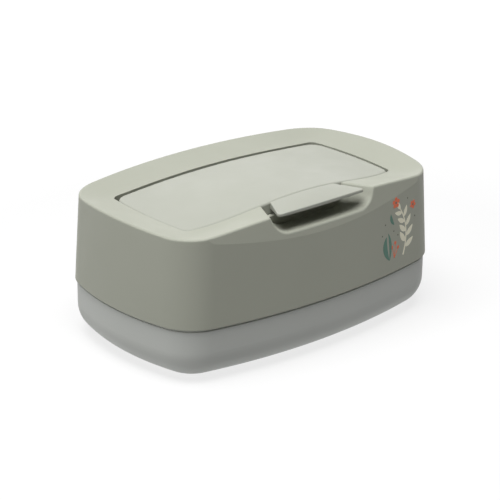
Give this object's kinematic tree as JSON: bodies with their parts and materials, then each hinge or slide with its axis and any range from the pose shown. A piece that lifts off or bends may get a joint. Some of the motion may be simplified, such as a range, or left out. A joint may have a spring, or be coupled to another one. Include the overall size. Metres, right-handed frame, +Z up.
{
  "type": "baby wipes box",
  "caption": "Low rounded box for wet wipes with a hinged crowned lid, a front lift tab over a finger scoop and a lift-off upper shell.",
  "frame": {"origin": "bottom centre of the closed box, on the plane the feet stand on", "axes": "+Z up, -Y towards the side with the lift tab, +X to the right seen from that side"},
  "size_m": [0.22, 0.1414, 0.0965],
  "materials": {
    "shell_plastic": "fine matte, grey green",
    "lid_plastic": "fine matte, grey green",
    "tray_plastic": "fine matte, cool grey",
    "seal_silicone": "soft matte",
    "foot_rubber": "soft matte",
    "pin_steel": "satin"
  },
  "bodies": {
    "base": {"base_tray": "tray_plastic", "tray_seal": "seal_silicone", "foot_front_left": "foot_rubber", "foot_front_right": "foot_rubber", "foot_rear_left": "foot_rubber", "foot_rear_right": "foot_rubber"},
    "housing": {"housing_shell": "shell_plastic", "hinge_pin_left": "pin_steel", "hinge_pin_right": "pin_steel"},
    "lid": {"lid_frame": "lid_plastic", "lid_cover": "lid_plastic", "lid_seal": "seal_silicone"}
  },
  "joints": [
    {"name": "housing_lift", "type": "slide", "parent": "base", "child": "housing", "axis": [0, 0, 1], "range_m": [0, 0.08]},
    {"name": "lid_hinge", "type": "hinge", "parent": "housing", "child": "lid", "pos_m": [0, 0.033, 0.085], "axis": [-1, 0, 0], "range_deg": [0, 95]}
  ]
}
